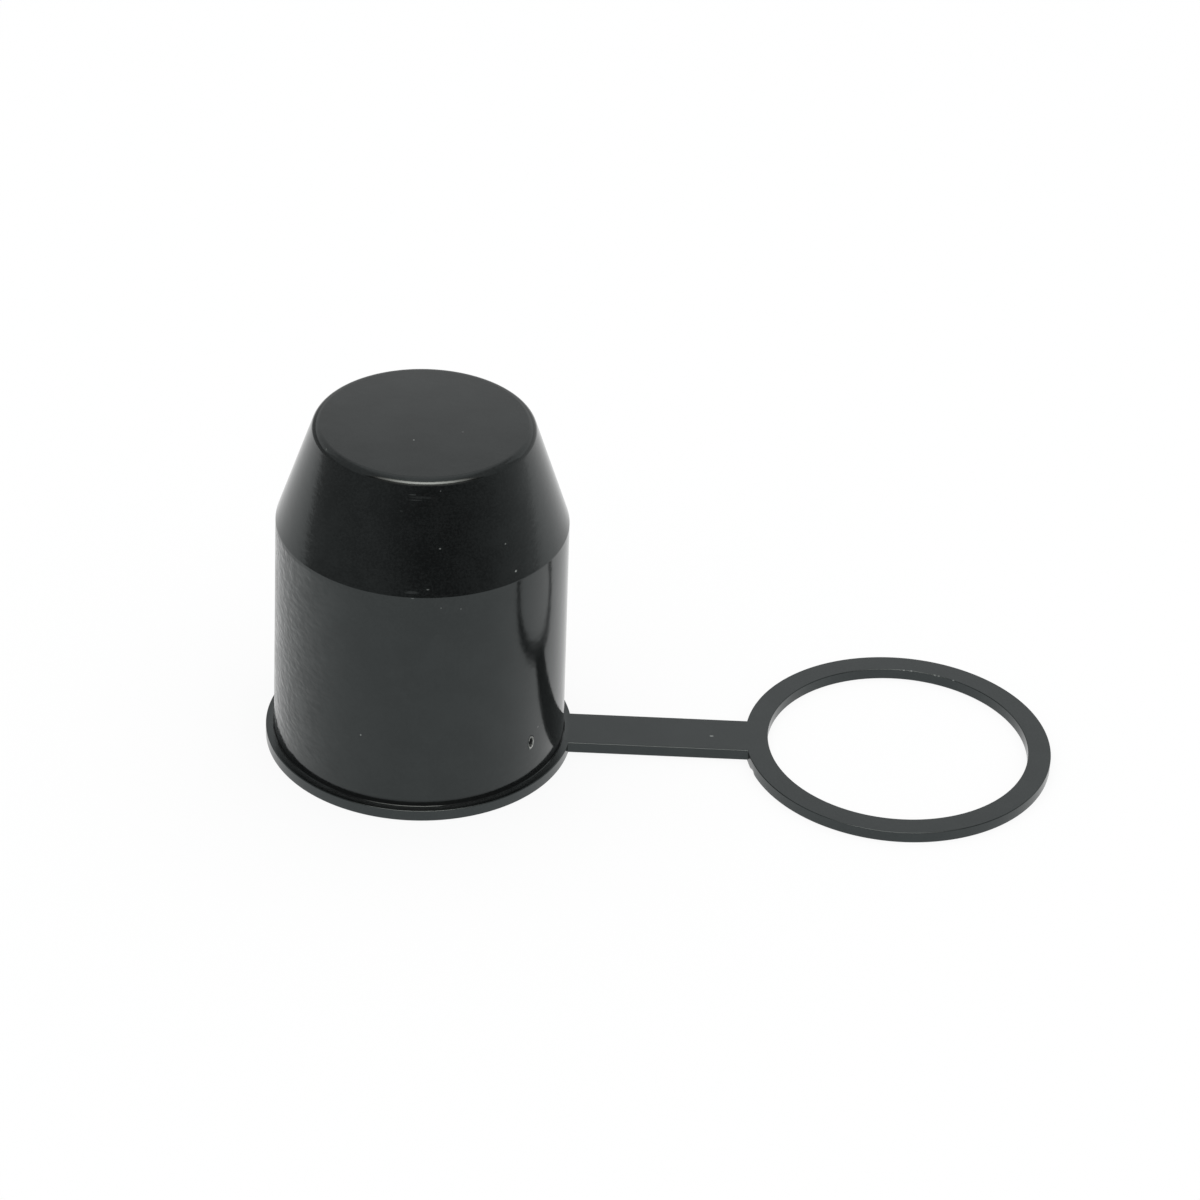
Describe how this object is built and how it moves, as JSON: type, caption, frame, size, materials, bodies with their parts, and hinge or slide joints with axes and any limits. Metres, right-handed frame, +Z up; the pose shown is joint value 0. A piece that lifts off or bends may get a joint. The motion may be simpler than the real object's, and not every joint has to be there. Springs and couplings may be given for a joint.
{
  "type": "tow ball cover",
  "caption": "Moulded black cover for a tow ball: a cup with a conical top and a flanged mouth, joined by a flat strap to a keeper ring.",
  "frame": {"origin": "centre of the cup's mouth, on the surface that the cover stands on", "axes": "+Z up along the cup's axis, +X along the strap from the cup to the ring"},
  "size_m": [0.1794, 0.0698, 0.082],
  "materials": {
    "black_plastic": "semi-gloss, as moulded, with fine grain and light scuffs"
  },
  "bodies": {
    "root": {"tow_ball_cover": "black_plastic"}
  },
  "joints": []
}
